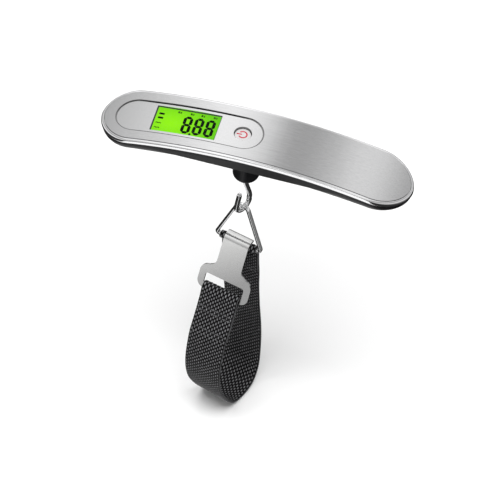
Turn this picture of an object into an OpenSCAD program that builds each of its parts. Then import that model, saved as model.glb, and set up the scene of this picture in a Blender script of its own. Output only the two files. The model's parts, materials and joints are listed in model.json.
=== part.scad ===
// Digital luggage scale: an arched handle with a display and a power button, a
// swivelling hook under it, a triangular ring, and a webbing loop that closes with
// a slotted buckle plate. Millimetres. +Z is up and the handle lies along X, with
// its display at the -X end. The Z axis is the load axis, and the origin is where
// that axis meets the crown of the face.

/* [Handle] */
// Length of the silver rim
handle_len = 155; // [152:0.5:158]
// Width of the silver rim
handle_w = 33.4; // [33:0.1:34.4]
// Radius of the arched face, seen from the side
arch_r = 293; // [285:1:310]
// Distance from the load axis to the middle of the handle
handle_shift = 4.5; // [4:0.5:5]
// Height of the silver rim
rim_h = 2.8; // [2.6:0.1:3]
// Thickness of the steel face plate
plate_t = 0.6; // [0.5:0.1:0.7]
// Depth of the handle at its middle
handle_depth = 16.7; // [16.5:0.1:17.5]
// Wall thickness of the lower casing
wall = 1.6; // [1.4:0.1:1.7]

/* [Display and button] */
// Length of the display bezel
bezel_len = 72; // [70:0.5:73]
// Width of the display bezel
bezel_w = 19.2; // [18.8:0.1:19.6]
// Width of the display window, along the handle
window_w = 32; // [30:0.5:33]
// Height of the display window, across the handle
window_h = 16.2; // [15:0.1:16.4]
// Diameter of the hole round the power button
button_hole_d = 8.8; // [8.4:0.1:9.2]
// Travel of the power button
button_travel = 0.6; // [0.4:0.1:0.7]

/* [Hook and ring] */
// Diameter of the round boss under the handle
boss_d = 13.2; // [12.8:0.1:13.6]
// Depth of the boss end below the crown of the face
boss_end = 30.5; // [30:0.5:31]
// Diameter of the hook wire
hook_d = 2.5; // [2.3:0.1:2.5]
// Centre-line radius of the hook's bend
hook_bend = 4.4; // [4.3:0.1:4.6]
// Turn of the hook's plane from the ring's plane
hook_turn = 75; // [74:1:90]
// Turn of the hanging parts about the load axis
hang_turn = -14.2; // [-30:0.1:30]
// Half the width of the ring at its base, corner to corner
ring_half = 12.6; // [12.3:0.1:13]
// Half of the angle at the ring's apex
ring_angle = 20; // [19:0.5:22]
// Thickness of the ring's legs, in the ring's plane
ring_t = 1.7; // [1.5:0.1:1.7]
// Width of the ring's legs, across the ring's plane
ring_w = 2.2; // [2:0.1:2.2]

/* [Strap and buckle] */
// Width of the webbing
strap_w = 20; // [18:0.5:20]
// Thickness of the webbing
strap_t = 1.2; // [1.1:0.1:1.4]
// Width of the buckle's neck
neck_w = 13.6; // [12:0.1:14.5]
// Width of the buckle's slotted frame
frame_w = 28; // [27:0.5:29]
// Thickness of the buckle plate
buckle_t = 1.1; // [1:0.1:1.3]
// Lean of the buckle plate out from the vertical
buckle_lean = 22; // [20:1:24]

/* [Hidden] */
$fn = 64;
arch_fn = 720;
belly_fn = 1440;
section_fn = 180;
// How far pieces of one solid run into each other
join = 0.1;

// Layers of the handle, as heights along the arch's own normal
rim_top = -0.2;
plate_bed = -plate_t - 0.2;
casing_floor = -rim_h;
rim_margin = 1.35;
plate_len = handle_len - 2 * rim_margin;
plate_w = handle_w - 2 * rim_margin;
lower_len = handle_len - 1;
lower_w = handle_w - 1;
bezel_top = -0.25;
bezel_mid = -29.7;
bezel_end = bezel_mid + bezel_len / 2;
window_mid = -31.8;
button_x = bezel_end - bezel_w / 2 - 0.2;

// Belly: a round section swept along a flatter arc than the face
belly_arc = 760;
belly_r = 17.5;
belly_rise = belly_r - handle_depth;
tip_r = 14;
tip_x = 62;
tip_z = -5.3;

// Load path
beam_top = -9.4;
beam_t = 4.2;
beam_x0 = -6;
beam_x1 = 40;
beam_w = 11;
anchor_t = 0.9;
spindle_d = 3.2;
spindle_top = beam_top + 2.4;
nut_h = 2;
bush_d = 7;
boss_floor = 1.2;
boss_round = 3.2;

// Hook, in its own plane: height of the bend's centre and of the first bend
hook_bend_z = -boss_end - 20.4;
hook_neck_z = -boss_end - 3.5;
hook_low_z = hook_bend_z - hook_bend;
hook_tip = [-3.1, -boss_end - 11];

// Ring: its apex rests on the hook's lowest point
apex_bend = 3.6;
corner_bend = 1.5;
ring_gap = 0.7;
apex_z = hook_low_z + hook_d / 2 + ring_gap + ring_t / 2;
ring_rise = ring_half / tan(ring_angle) - apex_bend * (1 / sin(ring_angle) - 1);
bar_z = apex_z - ring_rise;
bar_d = 2;
eye_r = bar_d / 2 + 0.1;
eye_out = eye_r + strap_t;

// Buckle, as distances down its plate from the ring's bar
hook_over_r = eye_out + 0.3;
slot_top = 21.2;
slot_low = 27.4;
buckle_low = 30;
slot_w = strap_w + 1.2;
fold_down = (slot_low + buckle_low) / 2;
fold_out = hook_over_r + buckle_t / 2;
fold_y = -fold_out * cos(buckle_lean) - fold_down * sin(buckle_lean);
fold_z = fold_out * sin(buckle_lean) - fold_down * cos(buckle_lean);
fold_r = 1.8;

// Battery bay, under the +X end: the cell's middle, and its tilt
bay_x = 58;
bay_z = -12.9;
bay_tilt = 7;
door_x0 = 46;
door_x1 = 69.8;
door_w = 21;
door_gap = 0.3;
cell_d = 20;
cell_h = 3.2;

// Centre line of the webbing loop in the Y-Z plane, from the ring's bar down the
// back strand, round the bottom and up the front strand to the buckle's low bar
loop = [
    [1.9, 0], [3.2, -11], [5.6, -25], [9.4, -48], [13.6, -70], [15.2, -88],
    [14.7, -103], [8.8, -111.6], [-5.2, -109.8], [-16.4, -95], [-22.6, -80],
    [-25, -65], [-24, -51], [-20, -39.5], [fold_y - 1.9, fold_z - 2]
];
loop_steps = 5;

// Casing posts: X, Y, the height where the two casings meet, and the screw's seat
posts = [for (side = [-1, 1], p = [[-58, 10.5, -11.2, -12.8], [20, 9.2, -8, -11.4]])
    [p[0], side * p[1], p[2], p[3]]];
// Board posts, in the board's own frame
board_posts = [[22, 9], [22, -9]];
board_top = -6.7;
board_t = 1.1;
lcd_top = -1.8;
lcd_t = 1.4;
beam_screw_x = [32, 38];

// ---------------------------------------------------------------- helpers

module stadium(len, w) {
    square([len - w, w], center = true);
    for (side = [-1, 1]) translate([side * (len - w) / 2, 0]) circle(d = w);
}

// A cylinder across the handle, coaxial with the arch, at height z on the arch
module arch_drum(z) {
    translate([handle_shift, 0, -arch_r]) rotate([90, 0, 0])
        cylinder(r = arch_r + z, h = 60, center = true, $fn = arch_fn);
}

// An arched slab between two heights, with an outline drawn in the X-Y plane
module arch_slab(low, high) {
    difference() {
        intersection() {
            translate([0, 0, -40]) linear_extrude(60) children();
            arch_drum(high);
        }
        arch_drum(low);
    }
}

module handle_slab(len, w, low, high) {
    arch_slab(low, high) translate([handle_shift, 0]) stadium(len, w);
}

module bezel_outline(margin) {
    translate([bezel_mid, 0]) stadium(bezel_len - 2 * margin, bezel_w - 2 * margin);
}

// Moves children from the origin to X on the arch, and tips them to its normal
module on_arch(x) {
    translate([handle_shift, 0, -arch_r])
        rotate([0, asin((x - handle_shift) / arch_r), 0])
            translate([0, 0, arch_r]) children();
}

// The flat frame of the circuit board and display, level under the window's middle
module on_board() {
    on_arch(window_mid) children();
}

// Moves children to the flat frame of the battery bay
module on_bay() {
    translate([bay_x, 0, bay_z]) rotate([0, bay_tilt, 0]) children();
}

module belly_side(inset) {
    translate([-tip_x, -40]) square([2 * tip_x, 60]);
    for (side = [-1, 1]) translate([side * tip_x, tip_z]) circle(r = tip_r - inset);
}

// The lower casing's outer form, or with an inset its hollow
module belly(inset, top) {
    sweep = 7;
    intersection() {
        translate([handle_shift, 0, -40])
            linear_extrude(60) stadium(lower_len - 2 * inset, lower_w - 2 * inset);
        translate([handle_shift, 0, -belly_arc]) rotate([-90, 0, 0])
            rotate([0, 0, 270 - sweep])
                rotate_extrude(angle = 2 * sweep, $fn = belly_fn)
                    translate([belly_arc + belly_rise, 0])
                        circle(r = belly_r - inset, $fn = section_fn);
        translate([handle_shift, 30, 0]) rotate([90, 0, 0])
            linear_extrude(60) belly_side(inset);
        arch_drum(top);
    }
}

module post(x, y, r, low, high) {
    translate([x, y, low]) cylinder(r = r, h = high - low, $fn = 48);
}

// Moves children to the hanging frame: X along the ring's bar, Z up
module hanging() {
    rotate([0, 0, hang_turn]) children();
}

module rounded_rect(w, h, r) {
    square([w - 2 * r, h], center = true);
    square([w, h - 2 * r], center = true);
    for (x = [-1, 1], y = [-1, 1])
        translate([x * (w / 2 - r), y * (h / 2 - r)]) circle(r = r);
}

// Part of a flat ring, from angle a to angle b, anticlockwise
module arc_band(r, t, a, b) {
    steps = 4;
    far = 3 * r;
    intersection() {
        difference() {
            circle(r = r + t / 2);
            circle(r = r - t / 2);
        }
        polygon(concat([[0, 0]], [for (i = [0:steps])
            let (turn = a + (b - a) * i / steps) far * [cos(turn), sin(turn)]]));
    }
}

// Point and tangent on the webbing's centre line, by a Catmull-Rom spline
function spline(p, i, t) =
    let (a = p[max(i - 1, 0)], b = p[i], c = p[i + 1], d = p[min(i + 2, len(p) - 1)])
    0.5 * ((2 * b) + (c - a) * t + (2 * a - 5 * b + 4 * c - d) * t * t
        + (3 * b - a - 3 * c + d) * t * t * t);
function unit(v) = v / norm(v);
function normal(v) = [-v[1], v[0]];
loop_n = (len(loop) - 1) * loop_steps;
function loop_at(k) =
    let (i = min(floor(k / loop_steps), len(loop) - 2))
    spline(loop, i, k / loop_steps - i);
function loop_normal(k) =
    normal(unit(loop_at(min(k + 1, loop_n)) - loop_at(max(k - 1, 0))));

// A tube with n sides along a route of points
function route_dir(p, i) = unit(p[min(i + 1, len(p) - 1)] - p[max(i - 1, 0)]);
module lead(route, r) {
    n = 8;
    last = len(route) - 1;
    rings = [for (i = [0:last])
        let (t = route_dir(route, i), u = unit(cross(t, [0.1, 0.2, 1])), v = cross(t, u))
        for (j = [0:n - 1]) route[i] + r * (cos(360 * j / n) * u + sin(360 * j / n) * v)];
    sides = [for (i = [0:last - 1], j = [0:n - 1])
        let (k = (j + 1) % n) [i * n + j, (i + 1) * n + j, (i + 1) * n + k, i * n + k]];
    ends = [[for (j = [0:n - 1]) j], [for (j = [n - 1:-1:0]) last * n + j]];
    polyhedron(rings, concat(sides, ends), convexity = 4);
}

// A route between two points that swings out sideways in the middle
function swing(a, b, side, n = 8) =
    [for (i = [0:n]) let (t = i / n) a + (b - a) * t + [0, side * sin(180 * t), 0]];

// ---------------------------------------------------------------- handle

module face_plate() {
    color("silver") difference() {
        handle_slab(plate_len, plate_w, -plate_t, 0);
        arch_slab(-2, 1) bezel_outline(-0.2);
    }
}

module adhesive_film() {
    color("gold") difference() {
        handle_slab(plate_len - 1, plate_w - 1, plate_bed, -plate_t);
        arch_slab(-2, 1) bezel_outline(-0.7);
    }
}

module upper_casing() {
    lip_out = lower_w - 2 * wall - 0.4;
    color("gainsboro") {
        difference() {
            handle_slab(handle_len, handle_w, casing_floor, rim_top);
            handle_slab(plate_len + 0.3, plate_w + 0.3, plate_bed, 1);
            arch_slab(-6, 1) bezel_outline(1);
            for (p = posts) post(p[0], p[1], 0.87, p[2] - 1, p[2] + 3);
        }
        intersection() {
            difference() {
                handle_slab(lower_len - 6, lip_out, casing_floor - 1.6, casing_floor + join);
                handle_slab(lower_len - 8.4, lip_out - 2.4, -8, 0);
            }
            translate([handle_shift, 0, -10]) cube([72, 60, 20], center = true);
        }
        for (p = posts) difference() {
            intersection() {
                post(p[0], p[1], 2, p[2], 5);
                arch_drum(casing_floor + join);
            }
            post(p[0], p[1], 0.87, p[2] - 1, p[2] + 3);
        }
        difference() {
            intersection() {
                on_board() for (p = board_posts) post(p[0], p[1], 1.8, board_top, 5);
                arch_drum(casing_floor + join);
            }
            on_board() for (p = board_posts) post(p[0], p[1], 0.77, -9, board_top + 2.6);
            arch_slab(-6, 1) bezel_outline(1);
        }
    }
}

module lower_casing() {
    color([0.09, 0.09, 0.1]) difference() {
        union() {
            difference() {
                belly(0, casing_floor);
                belly(wall, casing_floor + 1);
            }
            intersection() {
                belly(0.5, casing_floor - 0.2);
                union() {
                    for (p = posts) post(p[0], p[1], 2.7, -25, p[2]);
                    translate([28, -4, -25]) cube([16, 8, 25 + beam_top - beam_t - anchor_t]);
                }
            }
            rotate_extrude() polygon([
                [0, -boss_end], [boss_d / 2 - boss_round, -boss_end],
                for (a = [15:15:75])
                    [boss_d / 2 - boss_round * (1 - sin(a)), -boss_end + boss_round * (1 - cos(a))],
                [boss_d / 2, -boss_end + boss_round], [boss_d / 2, -15.6], [0, -15.6]]);
        }
        translate([0, 0, -boss_end - 1]) cylinder(r = 2.1, h = 20);
        translate([0, 0, -boss_end + boss_floor]) cylinder(r = bush_d / 2 + 0.02, h = 16);
        for (p = posts) {
            post(p[0], p[1], 1.1, -30, -5);
            post(p[0], p[1], 2.1, -30, p[3]);
        }
        for (x = beam_screw_x) post(x, 0, 1.06, -16.2, -5);
        translate([door_x0, -door_w / 2, -30]) cube([door_x1 - door_x0, door_w, 19]);
    }
}

// The door lifts straight off; a tab at each end guides it in the opening
module battery_door() {
    len = door_x1 - door_x0 - 2 * door_gap;
    mid = (door_x0 + door_x1) / 2;
    color([0.12, 0.12, 0.13]) {
        intersection() {
            difference() {
                belly(0, casing_floor - 4);
                belly(wall, casing_floor);
            }
            translate([mid, 0, -20]) cube([len, door_w - 2 * door_gap, 14], center = true);
        }
        for (side = [-1, 1]) intersection() {
            translate([mid + side * (len / 2 - 0.9), 0, -18]) cube([1, 8, 10], center = true);
            belly(wall / 2, casing_floor);
        }
    }
}

// ---------------------------------------------------------------- display and board

module display_bezel() {
    color("lightgray") difference() {
        union() {
            arch_slab(plate_bed, bezel_top) bezel_outline(0);
            arch_slab(casing_floor + 0.1, plate_bed + join) bezel_outline(1.1);
        }
        on_arch(window_mid) cube([window_w, window_h, 12], center = true);
        on_board() translate([0, 0, lcd_top - 1.95]) cube([35, 18, 4], center = true);
        on_arch(button_x) cylinder(d = button_hole_d, h = 12, center = true);
    }
}

module display_window() {
    color([0.8, 0.9, 0.85, 0.4]) on_arch(window_mid)
        translate([0, 0, lcd_top + 0.1]) linear_extrude(0.8)
            square([window_w - 0.1, window_h - 0.1], center = true);
}

module lcd_panel() {
    color([0.45, 0.9, 0.15]) on_board() translate([-17.2, -8.4, lcd_top - lcd_t])
        cube([34.4, 16.8, lcd_t]);
}

module backlight() {
    color([0.6, 1, 0.4]) on_board() translate([-16.5, -7.5, board_top + 0.05])
        cube([33, 15, lcd_top - lcd_t - board_top - 0.1]);
}

// Rubber strips that join the display's edge to the board
module contact_strips() {
    color([0.3, 0.3, 0.32]) on_board() for (side = [-1, 1])
        translate([-15, side * 8.05 - 0.3, board_top])
            cube([30, 0.6, lcd_top - lcd_t - board_top]);
}

module circuit_board() {
    color([0.05, 0.35, 0.15]) on_board() difference() {
        translate([-19.5, -11, board_top - board_t]) cube([55, 22, board_t]);
        for (p = board_posts) post(p[0], p[1], 0.9, -9, -4);
    }
}

module chip_potting() {
    dome_r = 10;
    color([0.05, 0.05, 0.05]) on_board()
        translate([2, 0, board_top - board_t]) intersection() {
            translate([0, 0, dome_r - 1.6]) sphere(r = dome_r, $fn = 180);
            translate([0, 0, -5]) cylinder(r = 8, h = 5);
        }
}

// The switch stands on the board, and its stem shares the button's axis
module tact_switch() {
    color([0.15, 0.15, 0.16]) {
        on_board() translate([25, -3, board_top]) cube([6, 6, 1.2]);
        on_arch(button_x) translate([0, 0, -4.4]) cylinder(d = 3, h = 1.45 - button_travel);
    }
}

module power_button() {
    color("white") on_arch(button_x) {
        translate([0, 0, -1.6]) cylinder(d = button_hole_d - 0.7, h = 0.9);
        translate([0, 0, -2.9]) cylinder(d = 5, h = 1.4);
    }
}

module board_screws() {
    board_low = board_top - board_t;
    color("gray") on_board() for (p = board_posts) {
        post(p[0], p[1], 0.75, board_low - join, board_top + 2.3);
        post(p[0], p[1], 1.4, board_low - 1, board_low);
    }
}

// ---------------------------------------------------------------- battery bay

module coin_cell() {
    color("silver") on_bay() {
        cylinder(d = cell_d, h = cell_h - 0.7);
        translate([0, 0, cell_h - 0.8]) cylinder(d = cell_d - 2.6, h = 0.8);
    }
}

module cell_contact_top() {
    color("gold") on_bay() {
        translate([-13, -2.5, cell_h + 0.5]) cube([20, 5, 0.3]);
        translate([3, -2.5, cell_h + 0.02]) cube([3, 5, 0.6]);
    }
}

module cell_contact_side() {
    color("gold") on_bay() translate([-cell_d / 2 - 0.45, -4, 0.3]) cube([0.4, 8, 2.4]);
}

// ---------------------------------------------------------------- load path

module load_beam() {
    color("lightsteelblue") difference() {
        translate([beam_x0, -beam_w / 2, beam_top - beam_t])
            cube([beam_x1 - beam_x0, beam_w, beam_t]);
        translate([0, 0, beam_top - beam_t - 1]) cylinder(d = 3.8, h = beam_t + 2);
        for (x = beam_screw_x) post(x, 0, 1.35, beam_top - beam_t - 1, beam_top + 1);
        for (x = [13, 21]) translate([x, 0, beam_top - beam_t / 2]) rotate([90, 0, 0])
            cylinder(d = 3, h = beam_w + 2, center = true);
        translate([17, 0, beam_top - beam_t / 2]) cube([8, beam_w + 2, 1.2], center = true);
    }
}

module gauge_potting() {
    color("white") translate([10, -4, beam_top]) intersection() {
        cube([14, 8, 1]);
        translate([7, 4, -24]) sphere(r = 25, $fn = 360);
    }
}

module anchor_plate() {
    color("gray") difference() {
        translate([28, -4, beam_top - beam_t - anchor_t]) cube([16, 8, anchor_t]);
        for (x = beam_screw_x) post(x, 0, 1.25, -16, -12);
    }
}

module beam_screws() {
    color("gray") for (x = beam_screw_x) {
        post(x, 0, 1.05, -16, beam_top + join);
        difference() {
            post(x, 0, 2.2, beam_top, beam_top + 1.5);
            translate([x, 0, beam_top + 1.2]) cube([3, 0.6, 1], center = true);
            translate([x, 0, beam_top + 1.2]) cube([0.6, 3, 1], center = true);
        }
    }
}

module guide_bush() {
    color("ivory") difference() {
        translate([0, 0, -boss_end + boss_floor]) cylinder(d = bush_d, h = 11);
        translate([0, 0, -boss_end]) cylinder(d = spindle_d + 0.14, h = 20);
    }
}

module thrust_washer() {
    color("goldenrod") difference() {
        translate([0, 0, beam_top]) cylinder(d = 7, h = 0.4);
        translate([0, 0, beam_top - 1]) cylinder(d = spindle_d + 0.4, h = 3);
    }
}

module spindle_nut() {
    color("silver") difference() {
        translate([0, 0, beam_top + 0.45]) cylinder(d = 6.2, h = nut_h, $fn = 6);
        translate([0, 0, beam_top - 1]) cylinder(d = spindle_d + 0.04, h = 6);
    }
}

module casing_screws() {
    color("dimgray") for (p = posts) {
        post(p[0], p[1], 0.85, p[3] - join, p[2] + 2.6);
        difference() {
            post(p[0], p[1], 1.95, p[3] - 1.2, p[3]);
            translate([p[0], p[1], p[3] - 1.2]) cube([2.4, 0.5, 1.2], center = true);
            translate([p[0], p[1], p[3] - 1.2]) cube([0.5, 2.4, 1.2], center = true);
        }
    }
}

module gauge_leads() {
    color("firebrick") for (i = [-1.5:1:1.5])
        lead(swing([11, i * 1.4, beam_top + 0.9], [3.8, i * 1.6 + 2, beam_top + 3.4], 0.4), 0.3);
}

module battery_leads() {
    color([0.1, 0.1, 0.1]) for (side = [-1, 1])
        lead(swing([46.4, side * 6, -12.4], [4, side * 6, -6.05], 0, 10), 0.35);
}

// ---------------------------------------------------------------- hook and ring

// Where the straight part of the hook runs into its bend
bend_angle = asin(hook_bend / (hook_neck_z - hook_bend_z));

// A straight rod from a to b, with a ball at b that joins it to the bend there
module rod(a, b, d) {
    v = b - a;
    translate(a) rotate([0, acos(v[2] / norm(v)), atan2(v[1], v[0])])
        cylinder(d = d, h = norm(v));
    translate(b) sphere(d = d + join);
}

module hook() {
    a = bend_angle;
    side = [hook_bend * cos(a), 0, hook_bend_z + hook_bend * sin(a)];
    color("silver") hanging() rotate([0, 0, hook_turn]) {
        translate([0, 0, hook_neck_z]) cylinder(d = spindle_d, h = spindle_top - hook_neck_z);
        translate([0, 0, hook_neck_z]) sphere(d = spindle_d + join);
        rod([0, 0, hook_neck_z], side, hook_d);
        translate([0, 0, hook_bend_z]) rotate([90, 0, 0])
            rotate([0, 0, 180]) rotate_extrude(angle = 180 + a, $fn = 96)
                translate([hook_bend, 0]) circle(d = hook_d);
        rod([hook_tip[0], 0, hook_tip[1]], [-hook_bend, 0, hook_bend_z], hook_d);
    }
}

module triangle_ring() {
    leg = [cos(ring_angle), sin(ring_angle)];
    corner = [ring_half - corner_bend / tan((90 - ring_angle) / 2), bar_z + corner_bend];
    top = [0, apex_z - apex_bend];
    leg_a = corner + corner_bend * leg;
    leg_b = top + apex_bend * leg;
    leg_t = ring_t - 0.04;
    color("silver") hanging() {
        rotate([90, 0, 0]) linear_extrude(ring_w, center = true) {
            translate(top) arc_band(apex_bend, ring_t, ring_angle, 180 - ring_angle);
            for (side = [0, 1]) mirror([side, 0]) {
                translate(corner) arc_band(corner_bend, ring_t, -70, ring_angle);
                translate(leg_a) rotate(90 + ring_angle) translate([-join, -leg_t / 2])
                    square([norm(leg_b - leg_a) + 2 * join, leg_t]);
            }
        }
        translate([0, 0, bar_z]) rotate([0, 90, 0])
            cylinder(d = bar_d, h = 2 * corner[0] + 1.2, center = true);
    }
}

// ---------------------------------------------------------------- strap and buckle

// Moves children to the ring's bar, with Y and Z of an outline drawn in X-Y
module across_bar(w) {
    hanging() translate([0, 0, bar_z]) rotate([90, 0, 90])
        linear_extrude(w, center = true) children();
}

// Half thickness of the webbing at step k: both sewn ends are doubled
function half_t(k) = strap_t * ((k < 9 || k > loop_n - 9) ? 0.95 : 0.5);

module strap() {
    color([0.08, 0.08, 0.09]) difference() {
        union() {
            across_bar(strap_w) polygon(concat(
                [for (k = [0:loop_n]) loop_at(k) + half_t(k) * loop_normal(k)],
                [for (k = [loop_n:-1:0]) loop_at(k) - half_t(k) * loop_normal(k)]));
            across_bar(strap_w) circle(r = eye_out);
            across_bar(strap_w) translate([fold_y, fold_z]) circle(r = fold_r + strap_t);
        }
        across_bar(strap_w + 1) circle(r = eye_r);
        across_bar(strap_w + 1) translate([fold_y, fold_z]) circle(r = fold_r);
    }
}

// Rows of short stitches across both sewn ends, on the face inside the loop
module strap_stitching() {
    row = 9;
    pitch = 1.9;
    color("dimgray") hanging() translate([0, 0, bar_z]) for (k = [6, 8, loop_n - 8, loop_n - 5]) {
        p = loop_at(k) - (half_t(k) + 0.12) * loop_normal(k);
        n = loop_normal(k);
        for (i = [-(row - 1) / 2:(row - 1) / 2])
            translate([i * pitch, p[0], p[1]]) rotate([atan2(n[1], n[0]), 0, 0])
                cube([1.3, 0.2, 0.5], center = true);
    }
}

// The plate's outline, with Y measured up from the ring's bar
module buckle_outline() {
    frame_h = buckle_low - 17;
    difference() {
        union() {
            translate([-neck_w / 2, -20]) square([neck_w, 20]);
            translate([0, -17 - frame_h / 2]) rounded_rect(frame_w, frame_h, 4);
            translate([-neck_w / 2 - 3, -18]) square([neck_w + 6, 4]);
        }
        for (side = [-1, 1]) translate([side * (neck_w / 2 + 3), -14]) circle(r = 3);
        translate([0, -(slot_top + slot_low) / 2])
            rounded_rect(slot_w, slot_low - slot_top, 1);
    }
}

module buckle() {
    color([0.75, 0.75, 0.74]) hanging() translate([0, 0, bar_z])
        rotate([-buckle_lean, 0, 0]) {
            translate([0, -hook_over_r, 0]) rotate([90, 0, 0])
                linear_extrude(buckle_t) buckle_outline();
            rotate([90, 0, 90]) linear_extrude(neck_w, center = true)
                arc_band(fold_out, buckle_t, 60, 180);
        }
}

// ---------------------------------------------------------------- drawing

face_plate();
adhesive_film();
upper_casing();
lower_casing();
display_bezel();
display_window();
lcd_panel();
backlight();
contact_strips();
circuit_board();
chip_potting();
tact_switch();
power_button();
battery_door();
coin_cell();
cell_contact_top();
cell_contact_side();
load_beam();
gauge_potting();
anchor_plate();
beam_screws();
guide_bush();
thrust_washer();
spindle_nut();
hook();
triangle_ring();
strap();
strap_stitching();
buckle();
casing_screws();
board_screws();
gauge_leads();
battery_leads();
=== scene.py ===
"""Looks for the digital luggage scale: smooth bevelled shells, a lit display, woven webbing and
plated metal.

Lengths below are millimetres in the part's own frame unless a name says otherwise, and MM turns
them into metres. Heights on the handle are along the arch's normal, from its face.
"""
import json
import math

import bmesh
import bpy
from mathutils import Matrix, Vector
from mathutils.geometry import delaunay_2d_cdt


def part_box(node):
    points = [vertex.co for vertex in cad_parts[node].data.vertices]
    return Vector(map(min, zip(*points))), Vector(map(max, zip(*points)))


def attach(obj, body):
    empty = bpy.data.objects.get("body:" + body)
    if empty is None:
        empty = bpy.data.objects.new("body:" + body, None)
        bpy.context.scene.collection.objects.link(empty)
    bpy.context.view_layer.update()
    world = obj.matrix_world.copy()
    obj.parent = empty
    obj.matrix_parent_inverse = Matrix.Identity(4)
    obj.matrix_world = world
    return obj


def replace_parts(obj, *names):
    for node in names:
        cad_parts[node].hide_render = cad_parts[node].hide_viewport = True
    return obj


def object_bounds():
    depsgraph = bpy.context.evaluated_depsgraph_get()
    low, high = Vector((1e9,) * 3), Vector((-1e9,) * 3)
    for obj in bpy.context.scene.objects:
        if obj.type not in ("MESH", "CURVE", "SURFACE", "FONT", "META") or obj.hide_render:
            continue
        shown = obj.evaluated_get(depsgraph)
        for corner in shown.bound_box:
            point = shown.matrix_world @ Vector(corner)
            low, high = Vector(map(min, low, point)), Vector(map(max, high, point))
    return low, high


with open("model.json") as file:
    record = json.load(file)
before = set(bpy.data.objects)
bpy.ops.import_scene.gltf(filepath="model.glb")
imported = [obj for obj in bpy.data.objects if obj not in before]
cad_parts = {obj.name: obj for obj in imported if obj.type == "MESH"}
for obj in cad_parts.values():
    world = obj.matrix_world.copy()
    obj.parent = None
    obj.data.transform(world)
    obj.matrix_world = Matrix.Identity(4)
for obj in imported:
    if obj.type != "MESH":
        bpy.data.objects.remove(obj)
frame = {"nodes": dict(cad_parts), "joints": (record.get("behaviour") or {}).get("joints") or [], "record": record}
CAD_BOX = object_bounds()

MM = 0.001


# ---------------------------------------------------------------- sizes from the frame

def node_box(node):
    """Lowest and highest corner of a CAD node, in millimetres."""
    low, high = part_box(node)
    return low / MM, high / MM


RIM_LOW, RIM_HIGH = node_box("upper_casing")
HANDLE_MID = (RIM_LOW.x + RIM_HIGH.x) / 2
HANDLE_LEN = RIM_HIGH.x - RIM_LOW.x
HANDLE_W = RIM_HIGH.y - RIM_LOW.y
BEZEL_LOW, BEZEL_HIGH = node_box("display_bezel")
BEZEL_LEN = BEZEL_HIGH.x - BEZEL_LOW.x
BEZEL_W = BEZEL_HIGH.y - BEZEL_LOW.y
BEZEL_MID = (BEZEL_HIGH.x + BEZEL_LOW.x) / 2
WINDOW_LOW, WINDOW_HIGH = node_box("display_window")
WINDOW_MID = (WINDOW_HIGH.x + WINDOW_LOW.x) / 2
WINDOW_W = 32.0
WINDOW_H = WINDOW_HIGH.y - WINDOW_LOW.y
BUTTON_LOW, BUTTON_HIGH = node_box("power_button")
BUTTON_X = (BUTTON_HIGH.x + BUTTON_LOW.x) / 2
BUTTON_R = (BUTTON_HIGH.y - BUTTON_LOW.y) / 2
BUTTON_HOLE_R = BUTTON_R + 0.35
BOSS_END = node_box("lower_casing")[0].z
DOOR_LOW, DOOR_HIGH = node_box("battery_door")
DOOR_MID = (DOOR_HIGH.x + DOOR_LOW.x) / 2
DOOR_LEN = DOOR_HIGH.x - DOOR_LOW.x
DOOR_W = DOOR_HIGH.y - DOOR_LOW.y

STRAP_SWING = next(joint for joint in frame["joints"] if joint["name"] == "strap_swing")
BAR_AXIS = Vector(STRAP_SWING["axis"]).normalized()
BAR_Z = (Vector(STRAP_SWING["pos_m"]) / MM).z

ARCH_R = 293.0
LEFT_END = 16.3
RIGHT_END = 18.4
SPINE_LEFT = HANDLE_MID - HANDLE_LEN / 2 + LEFT_END
SPINE_RIGHT = HANDLE_MID + HANDLE_LEN / 2 - RIGHT_END


def arch(x, height=0.0):
    """Z of the arched face at x, or of a layer at a height from it."""
    return math.sqrt((ARCH_R + height) ** 2 - (x - HANDLE_MID) ** 2) - ARCH_R


def on_arch(x, y, height=0.0):
    """A point of the arched face, or of a layer at a height from it."""
    return Vector((x, y, arch(x, height)))


def tangent_frame(x_at):
    """Matrix that puts flat artwork on the arch, level with the surface at x_at."""
    tilt = math.asin((x_at - HANDLE_MID) / ARCH_R)
    centre = Matrix.Translation((HANDLE_MID, 0, -ARCH_R))
    return centre @ Matrix.Rotation(tilt, 4, "Y") @ Matrix.Translation((0, 0, ARCH_R))


def hanging(point):
    """From the hanging frame, X along the ring's bar, to the part's frame."""
    across = Vector((-BAR_AXIS.y, BAR_AXIS.x, 0))
    return BAR_AXIS * point[0] + across * point[1] + Vector((0, 0, point[2]))


# ---------------------------------------------------------------- materials

def socket_mix(nodes, links, factor, low, high):
    """Blend between two colours by a value, and return the colour socket."""
    mix = nodes.new("ShaderNodeMix")
    mix.data_type = "RGBA"
    links.new(factor, mix.inputs["Factor"])
    mix.inputs["A"].default_value = low
    mix.inputs["B"].default_value = high
    return mix.outputs["Result"]


def socket_scale(nodes, links, color, factor):
    """Multiply a colour socket by a value socket."""
    scale = nodes.new("ShaderNodeVectorMath")
    scale.operation = "SCALE"
    links.new(color, scale.inputs[0])
    links.new(factor, scale.inputs["Scale"])
    return scale.outputs["Vector"]


def noise(nodes, links, scale, stretch, detail=3.0):
    """Noise in the object's own space, scale in features per metre, stretched by axis."""
    coord = nodes.new("ShaderNodeTexCoord")
    mapping = nodes.new("ShaderNodeMapping")
    mapping.inputs["Scale"].default_value = [scale * s for s in stretch]
    links.new(coord.outputs["Object"], mapping.inputs["Vector"])
    texture = nodes.new("ShaderNodeTexNoise")
    texture.inputs["Scale"].default_value = 1.0
    texture.inputs["Detail"].default_value = detail
    links.new(mapping.outputs["Vector"], texture.inputs["Vector"])
    return texture.outputs["Fac"]


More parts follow.
